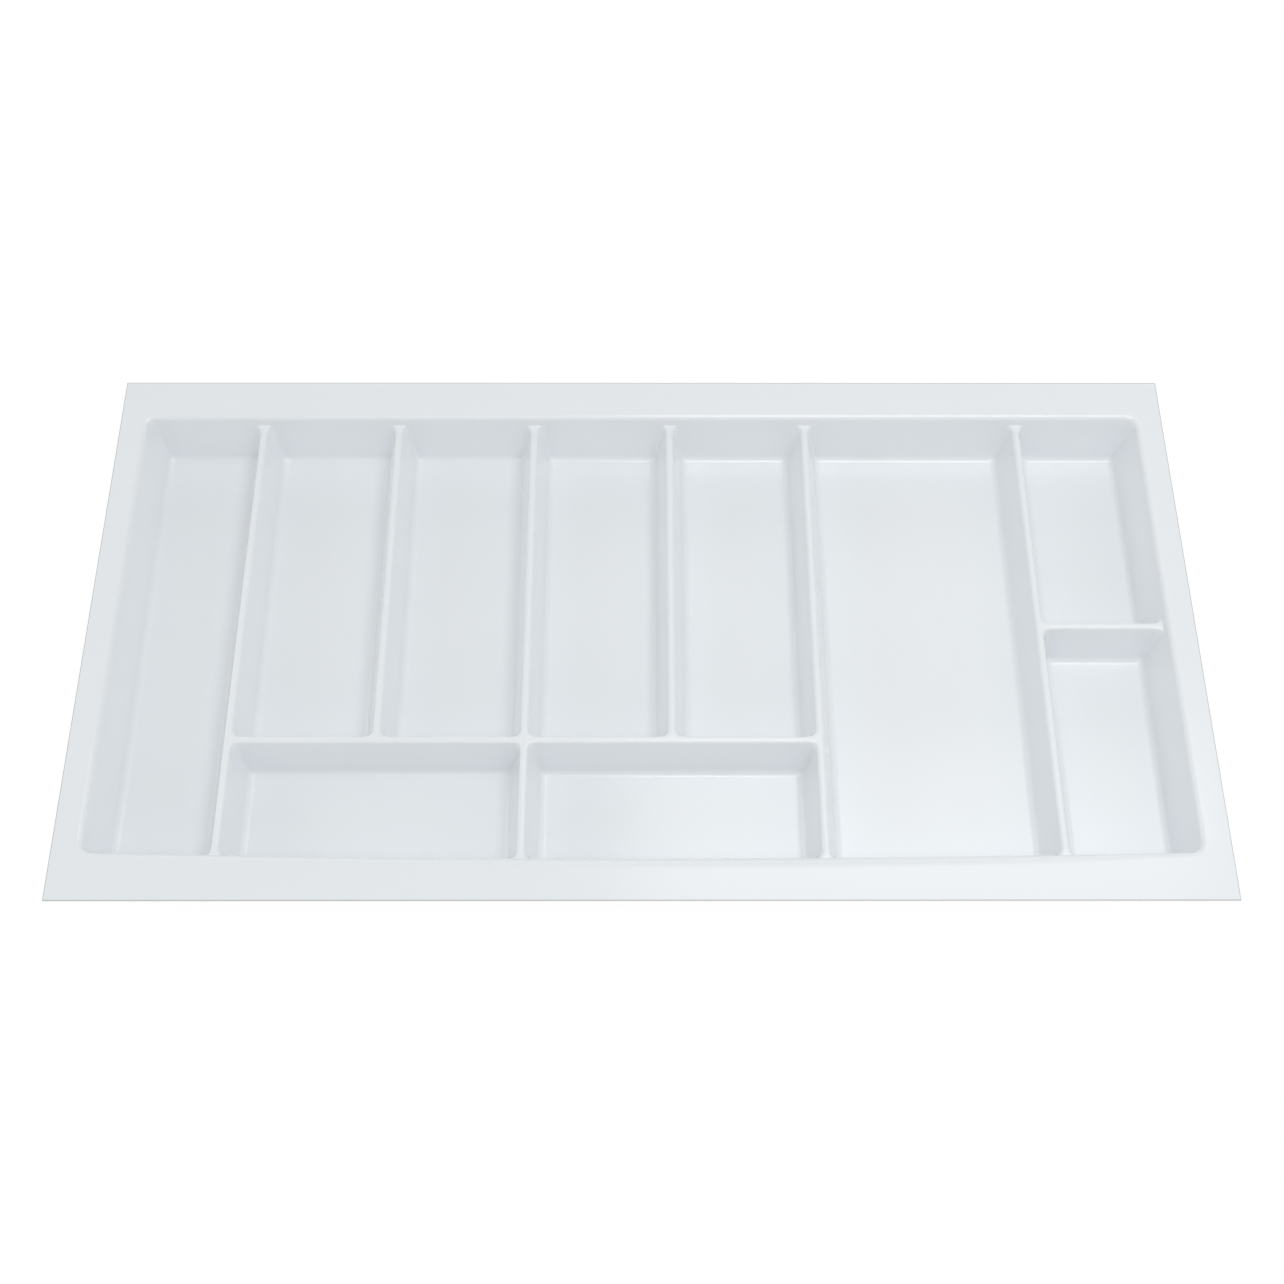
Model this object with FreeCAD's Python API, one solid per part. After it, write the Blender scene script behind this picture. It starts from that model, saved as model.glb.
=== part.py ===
import FreeCAD, Part
import math
import os

# A drawer insert for cutlery: one plastic sheet, heated and drawn down into ten compartments.
# Millimetres. X is the width, the front faces -Y, and the floors rest on Z = 0.

# The sheet and its trimmed rim
sheet_thickness = 1.5
tray_height = 50.0
wall_draft = 14.5  # degrees from upright, the same on walls and dividers
side_rim = 18.4  # flat of the rim, from the cut edge to where it turns down
front_rim = 31.5
back_rim = 34.0
rim_rounding = 5.0
rim_corner = 10.0  # corners of the outer wall in plan, at the height of the rim

# Dividers and floors
divider_drop = 9.0  # tops of the dividers below the rim
divider_land = 0.6  # flat strip along the top of a divider
divider_rounding = 3.0
junction_corner = 8.5  # where two dividers meet, in plan at the height of their tops
wall_corner = 8.0  # where a divider meets the outer wall, likewise
floor_rounding = 6.5

# Columns from left to right and rows from front to back. Each is measured between the
# centre lines of dividers, or from the edge of the opening to the first centre line.
left_column = 107.8
narrow_column = 121.2
narrow_columns = 4
wide_column = 190.0
right_column = 110.6
front_row = 109.5
back_row = 315.0
right_front_row = 214.5

# Working allowances, which leave no trace on the sheet
wall_overrun = 0.05  # a compartment passes the outer wall by this, so that the wall alone trims it
form_margin = tray_height  # the forms reach this far past the sheet, so that the cuts are clean

# Slopes, and the size of a rounding for each millimetre of its radius
run = math.tan(math.radians(wall_draft))
spread = 1.0 / math.cos(math.radians(wall_draft))
turn = math.tan(math.radians(90.0 - wall_draft) / 2.0)  # its reach along each face
climb = 1.0 - math.sin(math.radians(wall_draft))  # its height on the wall

# Levels of the upper face
floor_level = sheet_thickness
divider_level = tray_height - divider_drop

# Edges of the opening and centre lines of the dividers
opening_width = left_column + narrow_columns * narrow_column + wide_column + right_column
opening_depth = front_row + back_row
tray_width = opening_width + 2.0 * side_rim
tray_depth = opening_depth + front_rim + back_rim
left_edge = -tray_width / 2.0 + side_rim
right_edge = left_edge + opening_width
front_edge = -tray_depth / 2.0 + front_rim
back_edge = front_edge + opening_depth
column_lines = [left_edge + left_column + i * narrow_column for i in range(narrow_columns + 1)]
wide_line = column_lines[-1] + wide_column
cross_line = front_edge + front_row
right_cross_line = front_edge + right_front_row


def compartments():
    """Left, front, right and back lines of the ten compartments."""
    middle = narrow_columns // 2
    rooms = [(left_edge, front_edge, column_lines[0], back_edge)]
    for left, right in zip(column_lines[:-1], column_lines[1:]):
        rooms.append((left, cross_line, right, back_edge))
    for left, right in ((0, middle), (middle, narrow_columns)):
        rooms.append((column_lines[left], front_edge, column_lines[right], cross_line))
    rooms.append((column_lines[-1], front_edge, wide_line, back_edge))
    rooms.append((wide_line, front_edge, right_edge, right_cross_line))
    rooms.append((wide_line, right_cross_line, right_edge, back_edge))
    return rooms


def is_wall(line):
    """True for an edge of the opening, False for the centre line of a divider."""
    return line in (left_edge, right_edge, front_edge, back_edge)


def inset(line, level, depth):
    """Distance from a line to its sloping face at a level, on the form that lies depth under the upper face."""
    if is_wall(line):
        return rim_rounding * turn + (tray_height - level) * run - depth * spread
    return divider_land / 2.0 + divider_rounding * turn + (divider_level - level) * run - depth * spread


def corner_radius(x_line, y_line, depth):
    """Radius at the mouth where two sides of a compartment meet, which fades out above the floor's rounding."""
    if is_wall(x_line) and is_wall(y_line):
        return 0.0  # the outer wall rounds the tray's own corners
    radius = wall_corner if is_wall(x_line) or is_wall(y_line) else junction_corner
    clear_height = divider_level - floor_level - (floor_rounding + depth) * climb
    return min(radius + depth * turn, 0.95 * clear_height * run)


def flat_face(points):
    """Flat face through a loop of points, some of which may coincide."""
    loop = [point for i, point in enumerate(points) if point.distanceToPoint(points[i - 1]) > 1e-6]
    return Part.Face(Part.makePolygon(loop + loop[:1]))


def cone_face(tip, radius, start_angle):
    """Quarter of an upright cone that stands on its tip, as steep as the walls."""
    height = radius / run
    cone = Part.makeCone(0.0, radius, height, tip)
    surface = [face.Surface for face in cone.Faces if isinstance(face.Surface, Part.Cone)][0]
    return surface.toShape(start_angle, start_angle + math.pi / 2.0, 0.0, math.hypot(radius, height))


def well(sides, high, low, radii, rounded):
    """Solid with a level mouth, a level floor and four sloping walls.

    Its corners are upright cones, or else flat splays that touch those cones. Both fade out downwards.
    """
    left, front, right, back = sides
    corners = [(left, front, 1, 1), (right, front, -1, 1), (right, back, -1, -1), (left, back, 1, -1)]
    faces = []
    mouth = []
    posts = []
    for index, ((x, y, inward_x, inward_y), radius) in enumerate(zip(corners, radii)):
        reach = radius if rounded else radius * (2.0 - math.sqrt(2.0))
        centre = FreeCAD.Vector(x + inward_x * reach, y + inward_y * reach, high)
        start_angle = math.pi + index * math.pi / 2.0
        arc = []
        for angle in (start_angle, start_angle + math.pi / 4.0, start_angle + math.pi / 2.0):
            arc.append(centre + FreeCAD.Vector(math.cos(angle), math.sin(angle), 0.0) * reach)
        tip = FreeCAD.Vector(x + inward_x * radius, y + inward_y * radius, high - radius / run)
        slope = (high - low) * run
        foot = FreeCAD.Vector(x + inward_x * slope, y + inward_y * slope, low)
        posts.append((arc[0], arc[2], tip, foot))
        if radius > 0.0 and rounded:
            faces.append(cone_face(tip, radius, start_angle))
            mouth.append(Part.Arc(*arc).toShape())
        elif radius > 0.0:
            faces.append(flat_face([arc[0], arc[2], tip]))
            mouth.append(Part.makeLine(arc[0], arc[2]))
    for here, there in zip(posts, posts[1:] + posts[:1]):
        faces.append(flat_face([here[1], here[2], here[3], there[3], there[2], there[0]]))
        mouth.append(Part.makeLine(here[1], there[0]))
    faces.append(flat_face([post[3] for post in posts]))
    faces.append(Part.Face(Part.Wire(Part.sortEdges(mouth)[0])))
    shell = Part.makeShell(faces)
    shell.sewShape()
    return Part.Solid(shell)


def level_edges(shape, level):
    """Edges of a shape that lie at a level, inside the tray's cut edge."""
    found = []
    for edge in shape.Edges:
        box = edge.BoundBox
        level_enough = max(abs(box.ZMin - level), abs(box.ZMax - level)) < 1e-6
        inside_x = max(-box.XMin, box.XMax) < tray_width / 2.0
        inside_y = max(-box.YMin, box.YMax) < tray_depth / 2.0
        if level_enough and inside_x and inside_y:
            found.append(edge)
    return found


def slab(low, high, margin):
    """Level slab over the whole tray, margin wider than its cut edge."""
    corner = FreeCAD.Vector(-tray_width / 2.0 - margin, -tray_depth / 2.0 - margin, low)
    return Part.makeBox(tray_width + 2.0 * margin, tray_depth + 2.0 * margin, high - low, corner)


def compartment(room, depth):
    """One compartment up to the tops of the dividers, with its floor rounded into its walls."""
    low = floor_level - depth
    high = divider_level - depth
    left, front, right, back = room
    shift = [inset(line, high, depth) - (wall_overrun if is_wall(line) else 0.0) for line in room]
    sides = (left + shift[0], front + shift[1], right - shift[2], back - shift[3])
    pairs = ((left, front), (right, front), (right, back), (left, back))
    radii = [corner_radius(x_line, y_line, depth) for x_line, y_line in pairs]
    sharp = well(sides, high, low, radii, rounded=depth == 0.0)
    return sharp.makeFillet(floor_rounding + depth, level_edges(sharp, low))


def opening(depth):
    """The outer wall as one large well that turns out into the rim."""
    high = tray_height - depth
    side = inset(left_edge, high, depth)
    sides = (left_edge + side, front_edge + side, right_edge - side, back_edge - side)
    radii = [rim_corner + depth * turn] * 4
    wall = well(sides, high, floor_level - depth - form_margin, radii, rounded=True)
    joined = wall.fuse(slab(high, tray_height + form_margin, form_margin)).removeSplitter()
    return joined.makeFillet(rim_rounding - depth, level_edges(joined, high))


def form(depth):
    """Everything above the face that lies depth under the sheet's upper face.

    Only the upper face has rounded dividers. The hollows under them keep sharp edges and splayed corners.
    """
    high = divider_level - depth
    rooms = [compartment(room, depth) for room in compartments()]
    joined = slab(high, tray_height + 2.0 * form_margin, form_margin).fuse(rooms).removeSplitter()
    if depth == 0.0:
        joined = joined.makeFillet(divider_rounding, level_edges(joined, high))
    return joined.common(opening(depth))


def formed_tray():
    """The sheet between its upper and lower faces, trimmed to its outline."""
    trimmed = form(sheet_thickness).common(slab(-form_margin, tray_height + form_margin / 2.0, 0.0))
    return trimmed.cut(form(0.0)).removeSplitter()


os.makedirs("parts", exist_ok=True)
tray = formed_tray()
tray.exportStep("parts/formed_tray.step")
print("formed_tray", tray.isValid(), len(tray.Solids), len(tray.Faces), round(tray.Volume))
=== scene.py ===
"""A cutlery tray for a kitchen drawer, formed from one plastic sheet, in a plain studio.

Lengths are in metres. X is the width, the front faces -Y, and the floors rest on Z = 0.
"""

import logging
import math
from dataclasses import dataclass, field
from enum import Enum
from typing import Any

import bpy
from mathutils import Matrix, Vector


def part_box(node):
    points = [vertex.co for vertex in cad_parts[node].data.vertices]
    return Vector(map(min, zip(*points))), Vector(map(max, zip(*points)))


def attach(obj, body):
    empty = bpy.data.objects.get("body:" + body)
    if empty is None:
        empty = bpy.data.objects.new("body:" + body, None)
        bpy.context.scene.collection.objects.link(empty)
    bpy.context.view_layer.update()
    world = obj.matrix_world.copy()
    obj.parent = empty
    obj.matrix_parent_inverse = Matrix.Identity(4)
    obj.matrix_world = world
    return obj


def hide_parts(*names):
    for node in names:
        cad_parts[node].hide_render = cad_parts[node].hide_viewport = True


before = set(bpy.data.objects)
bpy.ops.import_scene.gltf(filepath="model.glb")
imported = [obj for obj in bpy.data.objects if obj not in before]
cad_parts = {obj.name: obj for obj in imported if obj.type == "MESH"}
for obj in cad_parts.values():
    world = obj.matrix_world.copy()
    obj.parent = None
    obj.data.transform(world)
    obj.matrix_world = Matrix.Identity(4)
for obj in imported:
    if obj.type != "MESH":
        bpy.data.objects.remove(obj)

MM = 0.001
TRAY_NODE = "formed_tray"
PHOTO_SIDE = 1284  # pixels across the square photograph
WHITE = "#ffffff"

# Types of the sockets that the geometry trees have
NUMBER = "NodeSocketFloat"
GEOMETRY = "NodeSocketGeometry"
MATERIAL = "NodeSocketMaterial"

# A Mix node repeats its socket names for each type of data, so its colours go by number.
COLOUR_A = 6
COLOUR_B = 7
MIXED_COLOUR = 2

log =logging.getLogger("cutlery_tray")


def linear(hex_colour: str) -> tuple[float, float, float, float]:
    """Turns an sRGB hex colour into linear values.

    Args:
        hex_colour: Six hex digits after a hash sign.

    Returns:
        Red, green, blue and an alpha of one.
    """
    parts = [int(hex_colour[i:i + 2], 16) / 255.0 for i in (1, 3, 5)]
    red, green, blue = [p / 12.92 if p <= 0.04045 else ((p + 0.055) / 1.055) ** 2.4 for p in parts]
    return red, green, blue, 1.0


def add_node(tree: bpy.types.NodeTree, kind: str, inputs: dict[Any, Any] | None = None,
             **settings: Any) -> bpy.types.Node:
    """Adds a node with its settings, and fills or links its inputs.

    Args:
        tree: The tree that gets the node.
        kind: The node's type name.
        inputs: Values or sockets, by input name or number.
        settings: Properties of the node itself.

    Returns:
        The new node.
    """
    node = tree.nodes.new(kind)
    for name, value in settings.items():
        setattr(node, name, value)
    for key, value in (inputs or {}).items():
        if isinstance(value, bpy.types.NodeSocket):
            tree.links.new(value, node.inputs[key])
        else:
            node.inputs[key].default_value = value
    return node


def add_tree(name: str, inputs: dict[str, str], outputs: dict[str, str]) -> bpy.types.NodeTree:
    """Makes an empty geometry tree with named inputs and outputs.

    Args:
        name: The tree's name.
        inputs: Socket type of each input, by name.
        outputs: Socket type of each output, by name.

    Returns:
        The new tree.
    """
    tree = bpy.data.node_groups.new(name, "GeometryNodeTree")
    for label, kind in inputs.items():
        tree.interface.new_socket(name=label, in_out="INPUT", socket_type=kind)
    for label, kind in outputs.items():
        tree.interface.new_socket(name=label, in_out="OUTPUT", socket_type=kind)
    return tree


class Corner(Enum):
    """What meets at a corner of a compartment, which decides how round it is."""

    RIM = "Rim Corner"
    JUNCTION = "Junction Corner"
    WALL = "Wall Corner"
    HIDDEN = "Hidden Corner"  # sharp, because the outer wall rounds the tray's own corners


@dataclass(frozen=True)
class Compartment:
    """One compartment between lines, each the edge of the opening or the middle of a divider."""

    name: str
    left: float
    front: float
    right: float
    back: float

    def holds(self, x: float, y: float) -> bool:
        """Tells whether a place in plan lies between this compartment's lines."""
        return self.left < x < self.right and self.front < y < self.back

    def slants_up(self, x: float, y: float) -> bool:
        """Tells whether the nearest corner seam runs from front left to back right in plan."""
        return (x - (self.left + self.right) / 2.0) * (y - (self.front + self.back) / 2.0) > 0.0


@dataclass(frozen=True)
class FormedPolystyrene:
    """Vacuum-formed high-impact polystyrene sheet, cool white, with a fine grain rolled into its face.

    The grain breaks up the gloss, so flat faces look satin and only the tight roundings show a clear
    bright line. Grains are about half a millimetre, drawn coarser here so that they show at all. Slow
    ripples are left from the forming, and a thin band along the sheet's outer edge is drawn darker.
    """

    name: str = "Vacuum-formed polystyrene sheet"
    colour: str = "#eef2f5"
    colour_in_hollows: str = "#ecf0f3"
    roughness: float = 0.17
    roughness_spread: float = 0.03
    ior: float = 1.59
    grain: float = 1.6 * MM
    grain_height: float = 0.012 * MM
    grain_detail: float = 2.0
    grain_breakup: float = 0.6
    ripple: float = 70.0 * MM
    ripple_height: float = 0.05 * MM
    ripple_detail: float = 1.0
    # A thin band along the sheet's outer edge is drawn in this darker colour.
    edge_band_colour: str = "#c0c6ca"
    edge_band_width: float = 0.6 * MM

    def material(self, half_width: float, half_depth: float) -> bpy.types.Material:
        """Builds the material.

        Args:
            half_width: From the middle of the sheet to its cut edge, left or right.
            half_depth: The same to the front or back.

        Returns:
            A new material that reads the piece's own coordinates.
        """
        made = bpy.data.materials.new(self.name)
        made.use_nodes = True
        tree = made.node_tree
        tree.nodes.clear()
        place = add_node(tree, "ShaderNodeTexCoord").outputs["Object"]
        grain = add_node(tree, "ShaderNodeTexNoise", {
            "Vector": place, "Scale": 1.0 / self.grain, "Detail": self.grain_detail,
            "Roughness": self.grain_breakup})
        ripple = add_node(tree, "ShaderNodeTexNoise", {
            "Vector": place, "Scale": 1.0 / self.ripple, "Detail": self.ripple_detail})
        tint = add_node(tree, "ShaderNodeMix", {
            "Factor": ripple.outputs["Fac"], COLOUR_A: linear(self.colour_in_hollows),
            COLOUR_B: linear(self.colour)}, data_type="RGBA")
        axes = add_node(tree, "ShaderNodeSeparateXYZ", {0: place}).outputs
        margins = []
        for axis, half in ((axes[0], half_width), (axes[1], half_depth)):
            out = add_node(tree, "ShaderNodeMath", {0: axis}, operation="ABSOLUTE").outputs[0]
            margins.append(add_node(tree, "ShaderNodeMath", {0: half, 1: out},
                                    operation="SUBTRACT").outputs[0])
        margin = add_node(tree, "ShaderNodeMath", {0: margins[0], 1: margins[1]},
                          operation="MINIMUM").outputs[0]
        # Within this width of the sheet's outer edge, the colour is darker.
        in_edge_band = add_node(tree, "ShaderNodeMath", {0: margin, 1: self.edge_band_width},
                          operation="LESS_THAN").outputs[0]
        colour = add_node(tree, "ShaderNodeMix", {
            "Factor": in_edge_band, COLOUR_A: tint.outputs[MIXED_COLOUR],
            COLOUR_B: linear(self.edge_band_colour)}, data_type="RGBA")
        sheen = add_node(tree, "ShaderNodeMapRange", {
            "Value": grain.outputs["Fac"],
            "To Min": self.roughness - self.roughness_spread,
            "To Max": self.roughness + self.roughness_spread})
        waves = add_node(tree, "ShaderNodeBump", {
            "Height": ripple.outputs["Fac"], "Distance": self.ripple_height, "Strength": 1.0})
        relief = add_node(tree, "ShaderNodeBump", {
            "Height": grain.outputs["Fac"], "Distance": self.grain_height, "Strength": 1.0,
            "Normal": waves.outputs["Normal"]})
        surface = add_node(tree, "ShaderNodeBsdfPrincipled", {
            "Base Color": colour.outputs[MIXED_COLOUR], "Roughness": sheen.outputs["Result"],
            "IOR": self.ior, "Normal": relief.outputs["Normal"]})
        add_node(tree, "ShaderNodeOutputMaterial", {"Surface": surface.outputs["BSDF"]})
        return made


@dataclass
class FormedTray:
    """The whole tray: a flat sheet that is drawn down into compartments and given its thickness."""

    low: Vector
    high: Vector
    finish: FormedPolystyrene = field(default_factory=FormedPolystyrene)
    sheet_thickness: float = 1.5 * MM
    wall_draft: float = math.radians(14.5)
    side_rim: float = 18.4 * MM
    front_rim: float = 31.5 * MM
    back_rim: float = 34.0 * MM
    rim_rounding: float = 5.0 * MM
    front_lip_rounding: float = 12.0 * MM  # in the middle of the front lip; its ends have the rim's
    front_bow: float = 4.4 * MM  # the front lip's ends lie this much further in than its middle
    lip_fade: float = 40.0 * MM  # width over which the front lip's rounding fades, and then its bow
    rim_corner: float = 10.0 * MM
    divider_drop: float = 9.0 * MM
    divider_land: float = 0.6 * MM
    divider_rounding: float = 3.0 * MM
    junction_corner: float = 8.5 * MM
    wall_corner: float = 8.0 * MM
    floor_rounding: float = 6.5 * MM
    floor_corner: float = 3.0 * MM  # least radius of a compartment's corners in plan
    left_column: float = 107.8 * MM
    narrow_column: float = 121.2 * MM
    narrow_columns: int = 4
    wide_column: float = 190.0 * MM
    front_row: float = 109.5 * MM
    right_front_row: float = 214.5 * MM
    wall_overrun: float = 0.05 * MM  # compartments pass the outer wall by this, so that it trims them
    rounding_steps: int = 5
    wall_steps: int = 6
    open_spacing: float = 30.0 * MM  # widest gap between the lines of the flat sheet
    least_spacing: float = 0.1 * MM  # narrowest gap
    crease_angle: float = math.radians(40.0)  # edges sharper than this stay crisp

    def __post_init__(self) -> None:
        """Works out slopes, levels and lines from the sizes."""
        self.run = math.tan(self.wall_draft)
        self.bend = math.pi / 2.0 - self.wall_draft
        self.turn = math.tan(self.bend / 2.0)
        self.rim_level = self.high.z
        self.divider_level = self.rim_level - self.divider_drop
        self.floor_level = self.low.z + self.sheet_thickness
        self.left_edge = self.low.x + self.side_rim
        self.right_edge = self.high.x - self.side_rim
        self.front_edge = self.low.y + self.front_rim
        self.back_edge = self.high.y - self.back_rim
        first = self.left_edge + self.left_column
        self.columns = [first + i * self.narrow_column for i in range(self.narrow_columns + 1)]
        self.wide_line = self.columns[-1] + self.wide_column
        self.cross_line = self.front_edge + self.front_row
        self.right_cross_line = self.front_edge + self.right_front_row
        self.rooms = self.compartments()

    def compartments(self) -> list[Compartment]:
        """Lists the compartments between their lines.

        Returns:
            One entry for each compartment.
        """
        front, back = self.front_edge, self.back_edge
        middle = self.narrow_columns // 2
        rooms = [Compartment("left", self.left_edge, front, self.columns[0], back)]
        for number, (left, right) in enumerate(zip(self.columns[:-1], self.columns[1:])):
            rooms.append(Compartment(f"narrow {number + 1}", left, self.cross_line, right, back))
        for number, (left, right) in enumerate(((0, middle), (middle, self.narrow_columns))):
            sides = (self.columns[left], front, self.columns[right], self.cross_line)
            rooms.append(Compartment(f"front {number + 1}", *sides))
        wide, edge, cross = self.wide_line, self.right_edge, self.right_cross_line
        rooms.append(Compartment("wide", self.columns[-1], front, wide, back))
        rooms.append(Compartment("right front", wide, front, edge, cross))
        rooms.append(Compartment("right back", wide, cross, edge, back))
        return rooms

    def is_wall(self, line: float) -> bool:
        """Tells an edge of the opening from the middle line of a divider."""
        return line in (self.left_edge, self.right_edge, self.front_edge, self.back_edge)

    def mouth_inset(self, line: float) -> float:
        """Gives the distance from a line to a compartment's side at the level of the dividers.

        Args:
            line: The edge of the opening or the middle of a divider.

        Returns:
            The distance to the sharp edge that the rounding replaces.
        """
        if self.is_wall(line):
            return self.rim_rounding * self.turn + self.divider_drop * self.run - self.wall_overrun
        return self.divider_land / 2.0 + self.divider_rounding * self.turn

    def corner_kind(self, x_line: float, y_line: float) -> Corner:
        """Says what meets where two lines of a compartment cross.

        Args:
            x_line: The line on the left or right.
            y_line: The line at the front or back.

        Returns:
            The kind of corner.
        """
        walls = self.is_wall(x_line) + self.is_wall(y_line)
        return (Corner.JUNCTION, Corner.WALL, Corner.HIDDEN)[walls]

    def flank(self, upper_level: float, upper_rounding: float, wall_levels: list[float]) -> list[float]:
        """Gives the distances, from a flank's sharp upper edge, at which the sheet needs a line.

        Args:
            upper_level: Height of the face above the flank.
            upper_rounding: Radius between that face and the flank.
            wall_levels: Heights of the lines on the sloping face.

        Returns:
            Distances from the start of the upper rounding to the end of the lower one.
        """
        steps = [self.bend * i / self.rounding_steps for i in range(self.rounding_steps + 1)]
        upper = [upper_rounding * (math.sin(angle) - self.turn) for angle in steps]
        wall = [(upper_level - level) * self.run for level in wall_levels]
        floor_end = (upper_level - self.floor_level) * self.run + self.floor_rounding * self.turn
        lower = [floor_end - self.floor_rounding * math.sin(angle) for angle in steps]
        return sorted(upper + wall + lower)

    def sheet_lines(self, low: float, high: float, walls: list[tuple[float, float, float]],
                    dividers: list[float]) -> list[float]:
        """Places the lines of the flat sheet along one axis, close together where it will bend.

        Args:
            low: The sheet's lower cut edge.
            high: The sheet's upper cut edge.
            walls: Each edge of the opening, its direction inwards and the rounding of its lip.
            dividers: Middle lines of the dividers.

        Returns:
            Rising places, with wide gaps filled evenly and very narrow ones closed.
        """
        climb = 1.0 - math.sin(self.wall_draft)
        wall_foot = self.floor_level + self.floor_rounding * climb
        divider_foot = self.divider_level - self.divider_rounding * climb
        step = (divider_foot - wall_foot) / self.wall_steps
        levels = [wall_foot + i * step for i in range(1, self.wall_steps)]
        divider_side = self.flank(self.divider_level, self.divider_rounding, levels)
        outer_levels = levels + [divider_foot, self.divider_level]
        places = [low, high]
        for edge, inward, rounding in walls:
            for distance in self.flank(self.rim_level, rounding, outer_levels):
                places.append(edge + inward * (self.rim_rounding * self.turn + distance))
        for line in dividers:
            for distance in divider_side:
                offset = self.mouth_inset(line) + distance
                places += [line - offset, line + offset]
        places.sort()
        lines = places[:1]
        for end in places[1:]:
            start = lines[-1]
            if end - start > self.least_spacing:
                parts = math.ceil((end - start) / self.open_spacing)
                lines += [start + (end - start) * i / parts for i in range(1, parts + 1)]
        return lines

    def flat_sheet(self) -> bpy.types.Mesh:
        """Makes the flat sheet before forming, with its corner seams running the way each corner needs.

        Returns:
            A level mesh at the height of the rim.
        """
        sides = [(self.left_edge, 1.0, self.rim_rounding), (self.right_edge, -1.0, self.rim_rounding)]
        ends = [(self.front_edge, 1.0, self.front_lip_rounding), (self.front_edge, 1.0, self.rim_rounding),
                (self.back_edge, -1.0, self.rim_rounding)]
        xs = self.sheet_lines(self.low.x, self.high.x, sides, self.columns + [self.wide_line])
        ys = self.sheet_lines(self.low.y, self.high.y, ends, [self.cross_line, self.right_cross_line])
        points = [(x, y, self.rim_level) for y in ys for x in xs]
        faces = []
        for row in range(len(ys) - 1):
            for column in range(len(xs) - 1):
                first = row * len(xs) + column
                quad = [first, first + 1, first + 1 + len(xs), first + len(xs)]
                x = (xs[column] + xs[column + 1]) / 2.0
                y = (ys[row] + ys[row + 1]) / 2.0
                slants_up = any(room.holds(x, y) and room.slants_up(x, y) for room in self.rooms)
                # A quad is split from its first corner to its third.
                faces.append(quad if slants_up else quad[1:] + quad[:1])
        mesh = bpy.data.meshes.new("flat_sheet")
        mesh.from_pydata(points, [], faces)
        return mesh

    def slope_tree(self) -> bpy.types.NodeTree:
        """Builds the fall of a face that bends from level into the slope of the walls.

        Returns:
            A tree from distance past the start of the bend to the fall.
        """
        names = ("Distance", "Rounding", "Draft")
        tree = add_tree("Bend Into Slope", dict.fromkeys(names, NUMBER), {"Fall": NUMBER})
        given = add_node(tree, "NodeGroupInput").outputs
        cosine = add_node(tree, "ShaderNodeMath", {0: given["Draft"]}, operation="COSINE").outputs[0]
        length = add_node(tree, "ShaderNodeMath", {0: given["Rounding"], 1: cosine},
                          operation="MULTIPLY").outputs[0]
        on_arc = add_node(tree, "ShaderNodeClamp", {"Value": given["Distance"], "Min": 0.0, "Max": length})
        share = add_node(tree, "ShaderNodeMath", {0: on_arc.outputs[0], 1: given["Rounding"]},
                         operation="DIVIDE").outputs[0]
        angle = add_node(tree, "ShaderNodeMath", {0: share}, operation="ARCSINE").outputs[0]
        height = add_node(tree, "ShaderNodeMath", {0: angle}, operation="COSINE").outputs[0]
        lost = add_node(tree, "ShaderNodeMath", {0: 1.0, 1: height}, operation="SUBTRACT").outputs[0]
        past = add_node(tree, "ShaderNodeMath", {0: given["Distance"], 1: length},
                        operation="SUBTRACT").outputs[0]
        straight = add_node(tree, "ShaderNodeMath", {0: past, 1: 0.0}, operation="MAXIMUM").outputs[0]
        run = add_node(tree, "ShaderNodeMath", {0: given["Draft"]}, operation="TANGENT").outputs[0]
        slope = add_node(tree, "ShaderNodeMath", {0: straight, 1: run}, operation="DIVIDE").outputs[0]
        fall = add_node(tree, "ShaderNodeMath", {0: lost, 1: given["Rounding"], 2: slope},
                        operation="MULTIPLY_ADD").outputs[0]
        add_node(tree, "NodeGroupOutput", {"Fall": fall})
        return tree

    def profile_tree(self) -> bpy.types.NodeTree:
        """Builds the section through one flank, from the level face above it to the floor below.

        Returns:
            A tree from distance inside a compartment's mouth to height.
        """
        names = ("Distance", "Upper Height", "Floor Height", "Upper Rounding", "Floor Rounding", "Draft")
        tree = add_tree("Flank Profile", dict.fromkeys(names, NUMBER), {"Height": NUMBER})
        given = add_node(tree, "NodeGroupInput").outputs
        slope = self.slope_tree()
        run = add_node(tree, "ShaderNodeMath", {0: given["Draft"]}, operation="TANGENT").outputs[0]
        bend = add_node(tree, "ShaderNodeMath", {0: math.pi / 2.0, 1: given["Draft"]},
                        operation="SUBTRACT").outputs[0]
        half_bend = add_node(tree, "ShaderNodeMath", {0: bend, 1: 0.5}, operation="MULTIPLY").outputs[0]
        turn = add_node(tree, "ShaderNodeMath", {0: half_bend}, operation="TANGENT").outputs[0]
        past_rounding = add_node(tree, "ShaderNodeMath", {
            0: given["Upper Rounding"], 1: turn, 2: given["Distance"]}, operation="MULTIPLY_ADD").outputs[0]
        upper_fall = add_node(tree, "GeometryNodeGroup", {
            "Distance": past_rounding, "Rounding": given["Upper Rounding"], "Draft": given["Draft"]},
            node_tree=slope)
        upper = add_node(tree, "ShaderNodeMath", {
            0: given["Upper Height"], 1: upper_fall.outputs[0]}, operation="SUBTRACT").outputs[0]
        depth = add_node(tree, "ShaderNodeMath", {
            0: given["Upper Height"], 1: given["Floor Height"]}, operation="SUBTRACT").outputs[0]
        wall_width = add_node(tree, "ShaderNodeMath", {0: depth, 1: run}, operation="MULTIPLY").outputs[0]
        floor_start = add_node(tree, "ShaderNodeMath", {
            0: given["Floor Rounding"], 1: turn, 2: wall_width}, operation="MULTIPLY_ADD").outputs[0]
        before_floor = add_node(tree, "ShaderNodeMath", {
            0: floor_start, 1: given["Distance"]}, operation="SUBTRACT").outputs[0]
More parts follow.
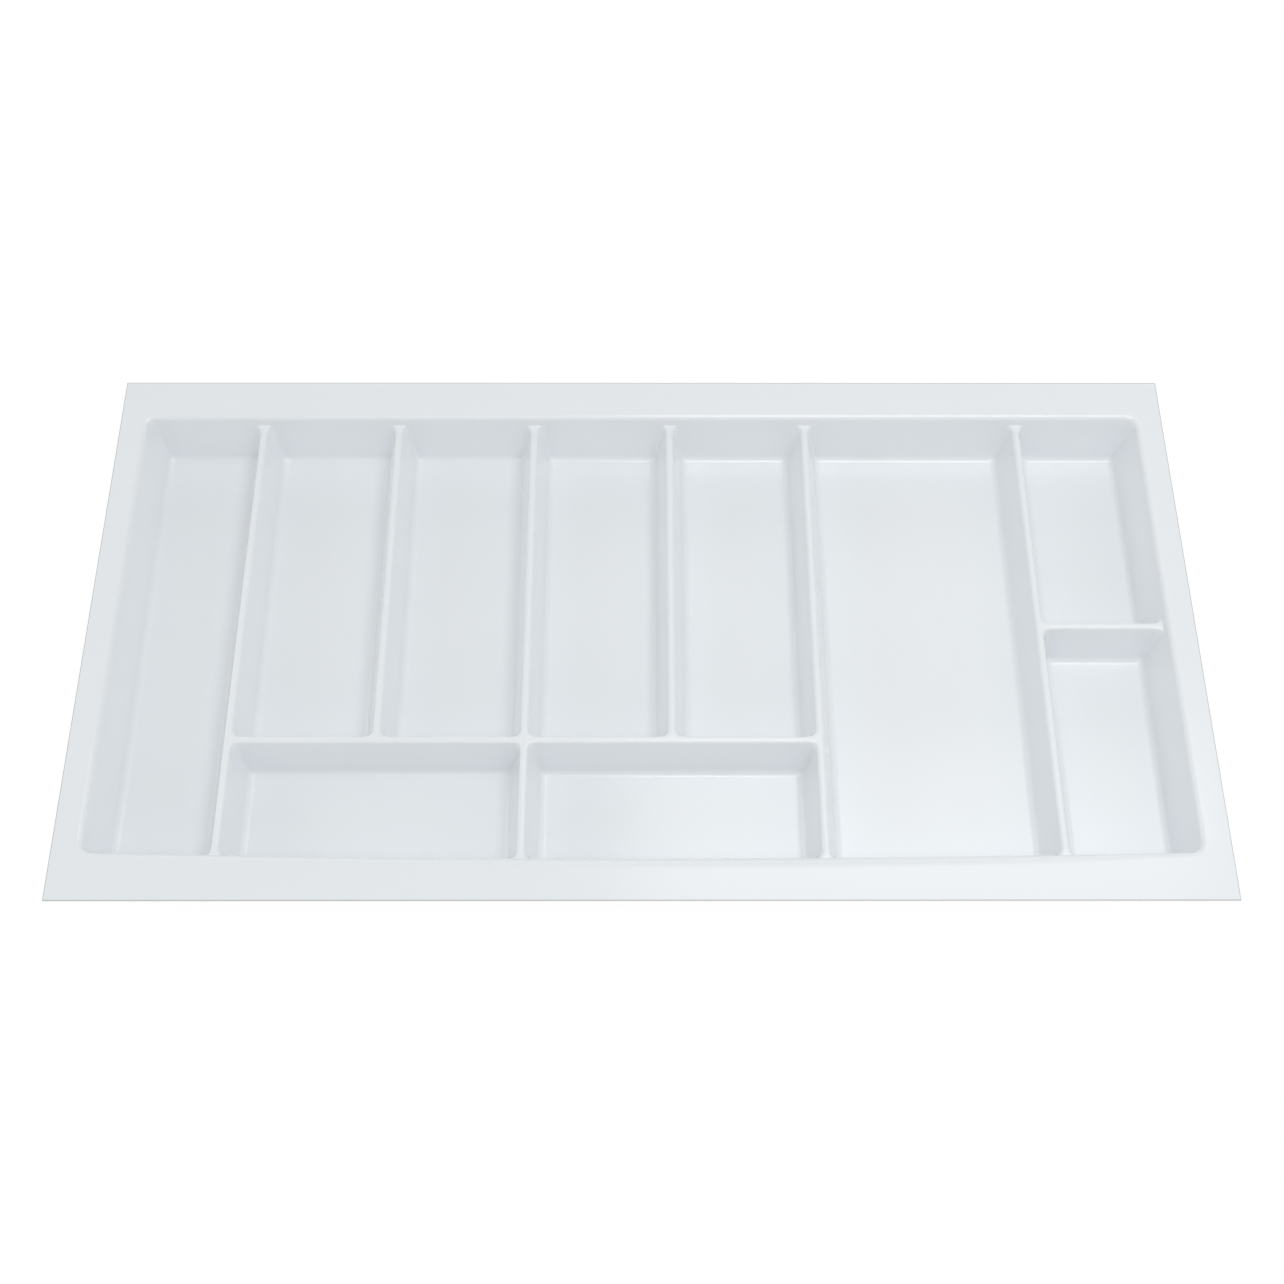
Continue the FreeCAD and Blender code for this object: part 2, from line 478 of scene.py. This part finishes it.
        lower_rise = add_node(tree, "GeometryNodeGroup", {
            "Distance": before_floor, "Rounding": given["Floor Rounding"], "Draft": given["Draft"]},
            node_tree=slope)
        lower = add_node(tree, "ShaderNodeMath", {
            0: given["Floor Height"], 1: lower_rise.outputs[0]}, operation="ADD").outputs[0]
        middle = add_node(tree, "ShaderNodeMath", {0: wall_width, 1: 0.5}, operation="MULTIPLY").outputs[0]
        is_lower = add_node(tree, "ShaderNodeMath", {0: given["Distance"], 1: middle},
                            operation="GREATER_THAN").outputs[0]
        height = add_node(tree, "ShaderNodeMix", {"Factor": is_lower, "A": upper, "B": lower}).outputs[0]
        add_node(tree, "NodeGroupOutput", {"Height": height})
        return tree

    def steady_corner_tree(self) -> bpy.types.NodeTree:
        """Builds the distance inside a corner that keeps one radius all the way down.

        Returns:
            A tree from the distances to the two sides to the distance inside the corner.
        """
        names = ("From Side", "From End", "Radius")
        tree = add_tree("Steady Corner", dict.fromkeys(names, NUMBER), {"Distance": NUMBER})
        given = add_node(tree, "NodeGroupInput").outputs
        side, end, radius = (given[name] for name in names)
        # On the arc, a distance d inside solves (d + radius - side)^2 + (d + radius - end)^2 = radius^2.
        difference = add_node(tree, "ShaderNodeMath", {0: side, 1: end}, operation="SUBTRACT").outputs[0]
        apart = add_node(tree, "ShaderNodeMath", {0: difference}, operation="ABSOLUTE").outputs[0]
        within = add_node(tree, "ShaderNodeMath", {0: apart, 1: radius}, operation="MINIMUM").outputs[0]
        square = add_node(tree, "ShaderNodeMath", {0: radius, 1: radius}, operation="MULTIPLY").outputs[0]
        twice_square = add_node(tree, "ShaderNodeMath", {0: square, 1: 2.0},
                                operation="MULTIPLY").outputs[0]
        within_square = add_node(tree, "ShaderNodeMath", {0: within, 1: within},
                                 operation="MULTIPLY").outputs[0]
        rest = add_node(tree, "ShaderNodeMath", {0: twice_square, 1: within_square},
                        operation="SUBTRACT").outputs[0]
        root = add_node(tree, "ShaderNodeMath", {0: rest}, operation="SQRT").outputs[0]
        beyond = add_node(tree, "ShaderNodeMath", {0: apart, 1: within}, operation="SUBTRACT").outputs[0]
        reach = add_node(tree, "ShaderNodeMath", {0: radius, 1: 2.0, 2: beyond},
                         operation="MULTIPLY_ADD").outputs[0]
        lost = add_node(tree, "ShaderNodeMath", {0: reach, 1: root}, operation="SUBTRACT").outputs[0]
        total = add_node(tree, "ShaderNodeMath", {0: side, 1: end}, operation="ADD").outputs[0]
        kept = add_node(tree, "ShaderNodeMath", {0: total, 1: lost}, operation="SUBTRACT").outputs[0]
        distance = add_node(tree, "ShaderNodeMath", {0: kept, 1: 0.5}, operation="MULTIPLY").outputs[0]
        add_node(tree, "NodeGroupOutput", {"Distance": distance})
        return tree

    def inside_tree(self) -> bpy.types.NodeTree:
        """Builds the distance inside a rectangle with rounded corners.

        Corners keep the least radius all the way down, and are rounder towards the mouth.

        Returns:
            A tree that reads the place in plan and gives the distance, negative outside.
        """
        names = ("Left", "Front", "Right", "Back", "Front Left Corner", "Front Right Corner",
                 "Back Right Corner", "Back Left Corner", "Least Corner")
        tree = add_tree("Distance Inside", dict.fromkeys(names, NUMBER), {"Distance": NUMBER})
        given = add_node(tree, "NodeGroupInput").outputs
        position = add_node(tree, "GeometryNodeInputPosition").outputs[0]
        place = add_node(tree, "ShaderNodeSeparateXYZ", {0: position}).outputs
        nearest = []
        is_upper = []
        for axis, low, high in ((0, "Left", "Right"), (1, "Front", "Back")):
            from_low = add_node(tree, "ShaderNodeMath", {0: place[axis], 1: given[low]},
                                operation="SUBTRACT").outputs[0]
            from_high = add_node(tree, "ShaderNodeMath", {0: given[high], 1: place[axis]},
                                 operation="SUBTRACT").outputs[0]
            nearest.append(add_node(tree, "ShaderNodeMath", {0: from_low, 1: from_high},
                                    operation="MINIMUM").outputs[0])
            is_upper.append(add_node(tree, "ShaderNodeMath", {0: from_low, 1: from_high},
                                     operation="GREATER_THAN").outputs[0])
        front = add_node(tree, "ShaderNodeMix", {
            "Factor": is_upper[0], "A": given["Front Left Corner"],
            "B": given["Front Right Corner"]}).outputs[0]
        back = add_node(tree, "ShaderNodeMix", {
            "Factor": is_upper[0], "A": given["Back Left Corner"],
            "B": given["Back Right Corner"]}).outputs[0]
        radius = add_node(tree, "ShaderNodeMix", {
            "Factor": is_upper[1], "A": front, "B": back}).outputs[0]
        short_of = []
        for distance in nearest:
            short = add_node(tree, "ShaderNodeMath", {0: radius, 1: distance},
                             operation="SUBTRACT").outputs[0]
            short_of.append(add_node(tree, "ShaderNodeMath", {0: short, 1: 0.0},
                                     operation="MAXIMUM").outputs[0])
        to_centre = add_node(tree, "ShaderNodeCombineXYZ", {0: short_of[0], 1: short_of[1]}).outputs[0]
        from_centre = add_node(tree, "ShaderNodeVectorMath", {0: to_centre},
                               operation="LENGTH").outputs["Value"]
        on_corner = add_node(tree, "ShaderNodeMath", {0: radius, 1: from_centre},
                             operation="SUBTRACT").outputs[0]
        least_side = add_node(tree, "ShaderNodeMath", {0: nearest[0], 1: nearest[1]},
                              operation="MINIMUM").outputs[0]
        past_corner = add_node(tree, "ShaderNodeMath", {0: least_side, 1: radius},
                               operation="SUBTRACT").outputs[0]
        in_middle = add_node(tree, "ShaderNodeMath", {0: past_corner, 1: 0.0},
                             operation="MAXIMUM").outputs[0]
        fading = add_node(tree, "ShaderNodeMath", {0: on_corner, 1: in_middle}, operation="ADD").outputs[0]
        steady = add_node(tree, "GeometryNodeGroup", {
            "From Side": nearest[0], "From End": nearest[1], "Radius": given["Least Corner"]},
            node_tree=self.steady_corner_tree()).outputs[0]
        distance = add_node(tree, "ShaderNodeMath", {0: fading, 1: steady}, operation="MINIMUM").outputs[0]
        add_node(tree, "NodeGroupOutput", {"Distance": distance})
        return tree

    def front_lip_tree(self) -> bpy.types.NodeTree:
        """Builds the lip of the front wall, which is rounder in its middle and bowed inwards at its ends.

        Returns:
            A tree that reads the place in plan and gives the lip's rounding and the bowed Y.
        """
        names = ("Rim Rounding", "Front Lip Rounding", "Front Bow")
        results = ("Rounding", "Bowed Y")
        tree = add_tree("Front Lip", dict.fromkeys(names, NUMBER), dict.fromkeys(results, NUMBER))
        given = add_node(tree, "NodeGroupInput").outputs
        position = add_node(tree, "GeometryNodeInputPosition").outputs[0]
        place = add_node(tree, "ShaderNodeSeparateXYZ", {0: position}).outputs
        across = add_node(tree, "ShaderNodeMapRange", {
            "Value": place[0], "From Min": self.left_edge, "From Max": self.right_edge,
            "To Min": -1.0, "To Max": 1.0}).outputs["Result"]
        end_share = add_node(tree, "ShaderNodeMath", {0: across, 1: across},
                             operation="MULTIPLY").outputs[0]
        front_lip = add_node(tree, "ShaderNodeMapRange", {
            "Value": end_share, "To Min": given["Front Lip Rounding"],
            "To Max": given["Rim Rounding"]}).outputs["Result"]
        rounding = add_node(tree, "ShaderNodeMapRange", {
            "Value": place[1], "From Min": self.front_edge + self.rim_rounding * self.turn,
            "From Max": self.front_edge + self.lip_fade, "To Min": front_lip,
            "To Max": given["Rim Rounding"]}, interpolation_type="SMOOTHSTEP").outputs["Result"]
        on_rim = add_node(tree, "ShaderNodeMapRange", {
            "Value": place[1], "From Min": self.low.y,
            "From Max": self.front_edge - self.front_lip_rounding,
            "To Min": 0.0, "To Max": end_share}, interpolation_type="SMOOTHSTEP").outputs["Result"]
        bow = add_node(tree, "ShaderNodeMapRange", {
            "Value": place[1], "From Min": self.front_edge + self.lip_fade,
            "From Max": self.front_edge + 2.0 * self.lip_fade,
            "To Min": on_rim, "To Max": 0.0}, interpolation_type="SMOOTHSTEP").outputs["Result"]
        bowed_y = add_node(tree, "ShaderNodeMath", {
            0: bow, 1: given["Front Bow"], 2: place[1]}, operation="MULTIPLY_ADD").outputs[0]
        add_node(tree, "NodeGroupOutput", {"Rounding": rounding, "Bowed Y": bowed_y})
        return tree

    def forming_sizes(self) -> dict[str, float]:
        """Names the sizes that the forming tree takes.

        Returns:
            Lengths in metres and the draft in radians, by the name of the input.
        """
        return {
            "Rim Height": self.rim_level,
            "Divider Height": self.divider_level,
            "Floor Height": self.floor_level,
            "Wall Draft": self.wall_draft,
            "Rim Rounding": self.rim_rounding,
            "Front Lip Rounding": self.front_lip_rounding,
            "Front Bow": self.front_bow,
            "Divider Rounding": self.divider_rounding,
            "Floor Rounding": self.floor_rounding,
            "Floor Corner": self.floor_corner,
            Corner.RIM.value: self.rim_corner,
            Corner.JUNCTION.value: self.junction_corner,
            Corner.WALL.value: self.wall_corner,
            Corner.HIDDEN.value: 0.0,
        }

    def forming_tree(self) -> bpy.types.NodeTree:
        """Builds the tree that draws the flat sheet down into the compartments.

        Returns:
            A tree with the tray's sizes as named inputs.
        """
        inputs = {"Sheet": GEOMETRY, "Material": MATERIAL} | dict.fromkeys(self.forming_sizes(), NUMBER)
        tree = add_tree("Draw Sheet Down", inputs, {"Tray": GEOMETRY})
        given = add_node(tree, "NodeGroupInput").outputs
        inside = self.inside_tree()
        profile = self.profile_tree()
        least_corner = {"Least Corner": given["Floor Corner"]}
        deepest = None
        for room in self.rooms:
            sides = {
                "Left": room.left + self.mouth_inset(room.left),
                "Right": room.right - self.mouth_inset(room.right),
                "Front": room.front + self.mouth_inset(room.front),
                "Back": room.back - self.mouth_inset(room.back)}
            corners = {}
            for y_name, y_line in (("Front", room.front), ("Back", room.back)):
                for x_name, x_line in (("Left", room.left), ("Right", room.right)):
                    corners[f"{y_name} {x_name} Corner"] = given[self.corner_kind(x_line, y_line).value]
            distance = add_node(tree, "GeometryNodeGroup", sides | corners | least_corner,
                                node_tree=inside, label=room.name).outputs[0]
            if deepest is not None:
                distance = add_node(tree, "ShaderNodeMath", {0: deepest, 1: distance},
                                    operation="MAXIMUM").outputs[0]
            deepest = distance
        hollows = add_node(tree, "GeometryNodeGroup", {
            "Distance": deepest, "Upper Height": given["Divider Height"],
            "Floor Height": given["Floor Height"], "Upper Rounding": given["Divider Rounding"],
            "Floor Rounding": given["Floor Rounding"], "Draft": given["Wall Draft"]},
            node_tree=profile, label="compartments").outputs[0]
        edge = self.rim_rounding * self.turn
        sides = {
            "Left": self.left_edge + edge, "Right": self.right_edge - edge,
            "Front": self.front_edge + edge, "Back": self.back_edge - edge}
        corners = {f"{end} {side} Corner": given[Corner.RIM.value]
                   for end in ("Front", "Back") for side in ("Left", "Right")}
        opening = add_node(tree, "GeometryNodeGroup", sides | corners | least_corner,
                           node_tree=inside, label="opening").outputs[0]
        lip_sizes = {name: given[name] for name in ("Rim Rounding", "Front Lip Rounding", "Front Bow")}
        lip = add_node(tree, "GeometryNodeGroup", lip_sizes,
                       node_tree=self.front_lip_tree(), label="front lip").outputs
        # The outer wall runs on below the floors, which are the compartments' own.
        far_below = add_node(tree, "ShaderNodeMath", {
            0: given["Floor Height"], 1: given["Rim Height"]}, operation="SUBTRACT").outputs[0]
        wall = add_node(tree, "GeometryNodeGroup", {
            "Distance": opening, "Upper Height": given["Rim Height"], "Floor Height": far_below,
            "Upper Rounding": lip["Rounding"], "Floor Rounding": given["Floor Rounding"],
            "Draft": given["Wall Draft"]}, node_tree=profile, label="outer wall").outputs[0]
        height = add_node(tree, "ShaderNodeMath", {0: hollows, 1: wall}, operation="MAXIMUM").outputs[0]
        position = add_node(tree, "GeometryNodeInputPosition").outputs[0]
        place = add_node(tree, "ShaderNodeSeparateXYZ", {0: position}).outputs
        drawn = add_node(tree, "ShaderNodeCombineXYZ", {
            0: place[0], 1: lip["Bowed Y"], 2: height}).outputs[0]
        formed = add_node(tree, "GeometryNodeSetPosition", {"Geometry": given["Sheet"], "Position": drawn})
        real = add_node(tree, "GeometryNodeRealizeInstances", {0: formed.outputs[0]})
        dressed = add_node(tree, "GeometryNodeSetMaterial", {
            "Geometry": real.outputs[0], "Material": given["Material"]})
        add_node(tree, "NodeGroupOutput", {"Tray": dressed.outputs[0]})
        return tree

    def build(self) -> bpy.types.Object:
        """Forms the sheet, gives it its thickness and dresses it.

        Returns:
            The finished tray as a plain mesh.
        """
        piece = bpy.data.objects.new("formed_sheet", self.flat_sheet())
        bpy.context.collection.objects.link(piece)
        tree = self.forming_tree()
        forming = piece.modifiers.new("forming", "NODES")
        forming.node_group = tree
        values = self.forming_sizes() | {"Material": self.finish.material(self.high.x, self.high.y)}
        for socket in tree.interface.items_tree:
            if socket.in_out == "INPUT" and socket.name in values:
                forming[socket.identifier] = values[socket.name]
        gauge = piece.modifiers.new("gauge", "SOLIDIFY")
        gauge.thickness = self.sheet_thickness
        gauge.offset = -1.0  # all of it below the formed face
        self.settle(piece)
        piece.data.set_sharp_from_angle(angle=self.crease_angle)
        shading = piece.modifiers.new("shading", "WEIGHTED_NORMAL")
        shading.keep_sharp = True
        self.settle(piece)
        return piece

    @staticmethod
    def settle(piece: bpy.types.Object) -> None:
        """Turns a piece's modifiers into plain mesh.

        Args:
            piece: The piece whose modifiers end here.
        """
        bpy.context.view_layer.update()
        source = piece.evaluated_get(bpy.context.evaluated_depsgraph_get())
        mesh = bpy.data.meshes.new_from_object(source)
        mesh.shade_smooth()
        mesh.name = piece.name
        piece.modifiers.clear()
        piece.data = mesh


@dataclass(frozen=True)
class PaleFloor:
    """A plain floor that is white to the eye and still takes a faint shadow."""

    name: str = "Matt white studio floor"
    colour: str = "#f4f4f4"
    half_width: float = 4.0
    drop: float = 0.2 * MM
    whiteness: float = 0.93
    glow: float = 1.03

    def material(self) -> bpy.types.Material:
        """Builds the floor's material.

        Returns:
            A matt white that is mixed with plain white where the camera or a gloss sees it.
        """
        made = bpy.data.materials.new(self.name)
        made.use_nodes = True
        tree = made.node_tree
        tree.nodes.clear()
        rays = add_node(tree, "ShaderNodeLightPath").outputs
        seen = add_node(tree, "ShaderNodeMath", {0: rays["Is Camera Ray"], 1: rays["Is Glossy Ray"]},
                        operation="MAXIMUM").outputs[0]
        share = add_node(tree, "ShaderNodeMath", {0: seen, 1: self.whiteness},
                         operation="MULTIPLY").outputs[0]
        matt = add_node(tree, "ShaderNodeBsdfDiffuse", {"Color": linear(self.colour)})
        white = add_node(tree, "ShaderNodeEmission", {"Color": linear(WHITE), "Strength": self.glow})
        both = add_node(tree, "ShaderNodeMixShader", {0: share, 1: matt.outputs[0], 2: white.outputs[0]})
        add_node(tree, "ShaderNodeOutputMaterial", {"Surface": both.outputs[0]})
        return made

    def build(self) -> bpy.types.Object:
        """Makes the floor under the tray.

        Returns:
            The floor.
        """
        side = self.half_width
        mesh = bpy.data.meshes.new("floor")
        corners = [(-side, -side), (side, -side), (side, side), (-side, side)]
        mesh.from_pydata([(x, y, -self.drop) for x, y in corners], [], [(0, 1, 2, 3)])
        mesh.materials.append(self.material())
        floor = bpy.data.objects.new("floor", mesh)
        bpy.context.collection.objects.link(floor)
        return floor


class Aim(Enum):
    """Where a lamp points."""

    AT_TRAY = "at the tray"
    STRAIGHT_DOWN = "straight down"


@dataclass(frozen=True)
class SoftBox:
    """A flat rectangular lamp."""

    name: str
    place: tuple[float, float, float]
    width: float
    depth: float
    watts: float
    aim: Aim = Aim.AT_TRAY
    colour: str = WHITE

    def build(self, target: Vector) -> bpy.types.Object:
        """Hangs the lamp.

        Args:
            target: The point that it faces, unless it points straight down.

        Returns:
            The lamp.
        """
        lamp = bpy.data.lights.new(self.name, "AREA")
        lamp.shape = "RECTANGLE"
        lamp.size = self.width
        lamp.size_y = self.depth
        lamp.energy = self.watts
        lamp.color = linear(self.colour)[:3]
        hung = bpy.data.objects.new(self.name, lamp)
        hung.location = self.place
        if self.aim is Aim.AT_TRAY:
            hung.rotation_euler = (Vector(self.place) - target).to_track_quat("Z", "Y").to_euler()
        bpy.context.collection.objects.link(hung)
        return hung


@dataclass(frozen=True)
class Studio:
    """Even light from all round, as in a light tent, with ceiling lamps and panels on its four sides."""

    tent_colour: str = WHITE
    tent_strength: float = 0.432
    # Name, place, width, depth and watts of each lamp, with its aim if it isn't the tray
    lamps: tuple[SoftBox, ...] = (
        SoftBox("ceiling_lamp", (0.55, -0.2, 2.15), 1.2, 0.85, 12.5, Aim.STRAIGHT_DOWN),
        SoftBox("back_ceiling_lamp", (0.6, 0.65, 2.15), 1.2, 0.4, 2.6, Aim.STRAIGHT_DOWN),
        SoftBox("far_back_lamp", (0.4, 1.25, 2.15), 1.0, 0.3, 0.6, Aim.STRAIGHT_DOWN),
        SoftBox("front_ceiling_panel", (-0.1, -0.9, 2.15), 1.6, 0.9, 5.6, Aim.STRAIGHT_DOWN),
        SoftBox("left_panel", (-2.0, 0.2, 0.75), 1.4, 0.8, 4.0),
        SoftBox("left_fill", (-1.1, 0.0, 0.6), 1.2, 0.6, 0.95),
        SoftBox("right_panel", (2.0, 0.2, 0.75), 1.4, 0.8, 2.5),
        SoftBox("right_lamp", (1.6, 0.0, 1.5), 0.8, 0.8, 1.9),
        SoftBox("front_panel", (0.0, -2.0, 0.75), 2.0, 0.8, 3.4),
        SoftBox("back_panel", (0.0, 2.0, 0.75), 2.0, 0.8, 4.7),
    )

    def build(self, target: Vector) -> None:
        """Lights the scene.

        Args:
            target: The point that the lamps face.
        """
        world = bpy.data.worlds.new("Light tent")
        world.use_nodes = True
        tree = world.node_tree
        tree.nodes.clear()
        rays = add_node(tree, "ShaderNodeLightPath").outputs
        tent = add_node(tree, "ShaderNodeBackground", {
            "Color": linear(self.tent_colour), "Strength": self.tent_strength})
        white = add_node(tree, "ShaderNodeBackground", {"Color": linear(WHITE), "Strength": 1.0})
        both = add_node(tree, "ShaderNodeMixShader", {
            0: rays["Is Camera Ray"], 1: tent.outputs[0], 2: white.outputs[0]})
        add_node(tree, "ShaderNodeOutputWorld", {"Surface": both.outputs[0]})
        bpy.context.scene.world = world
        for lamp in self.lamps:
            lamp.build(target)
        bpy.context.scene.view_settings.view_transform = "Standard"


@dataclass(frozen=True)
class PhotographView:
    """The camera of the photograph, placed from the middle of the rim."""

    offset: tuple[float, float, float] = (-3.4 * MM, -690.2 * MM, 1290.7 * MM)
    pitch: float = math.radians(62.532)
    yaw: float = math.radians(0.298)
    roll: float = math.radians(-0.261)
    focal_pixels: float = 1742.0
    sensor: float = 36.0  # millimetres, as a camera's lens and sensor are

    def build(self, rim_middle: Vector) -> bpy.types.Object:
        """Sets up the camera.

        Args:
            rim_middle: Middle of the tray at the height of its rim.

        Returns:
            The scene's camera.
        """
        camera = bpy.data.cameras.new("photograph_view")
        camera.sensor_fit = "HORIZONTAL"
        camera.sensor_width = self.sensor
        camera.lens = self.focal_pixels * self.sensor / PHOTO_SIDE
        turned = Matrix.Rotation(-self.yaw, 4, "Z") @ Matrix.Rotation(math.pi / 2.0 - self.pitch, 4, "X")
        turned = turned @ Matrix.Rotation(-self.roll, 4, "Z")
        stand = bpy.data.objects.new("photograph_view", camera)
        stand.matrix_world = Matrix.Translation(rim_middle + Vector(self.offset)) @ turned
        bpy.context.collection.objects.link(stand)
        bpy.context.scene.camera = stand
        return stand


def main() -> None:
    """Builds the tray, the floor, the light and the camera."""
    logging.basicConfig(level=logging.INFO, format="%(name)s: %(message)s")
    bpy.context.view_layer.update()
    low, high = (Vector(corner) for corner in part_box(TRAY_NODE))
    rim_middle = Vector(((low.x + high.x) / 2.0, (low.y + high.y) / 2.0, high.z))

    tray = FormedTray(low, high)
    sheet = tray.build()
    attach(sheet, "root")
    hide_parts(TRAY_NODE)
    log.info("%s: %d faces", sheet.name, len(sheet.data.polygons))

    floor = PaleFloor().build()
    log.info("%s: stage", floor.name)
    Studio().build(rim_middle)
    PhotographView().build(rim_middle)


if __name__ == "__main__":
    main()
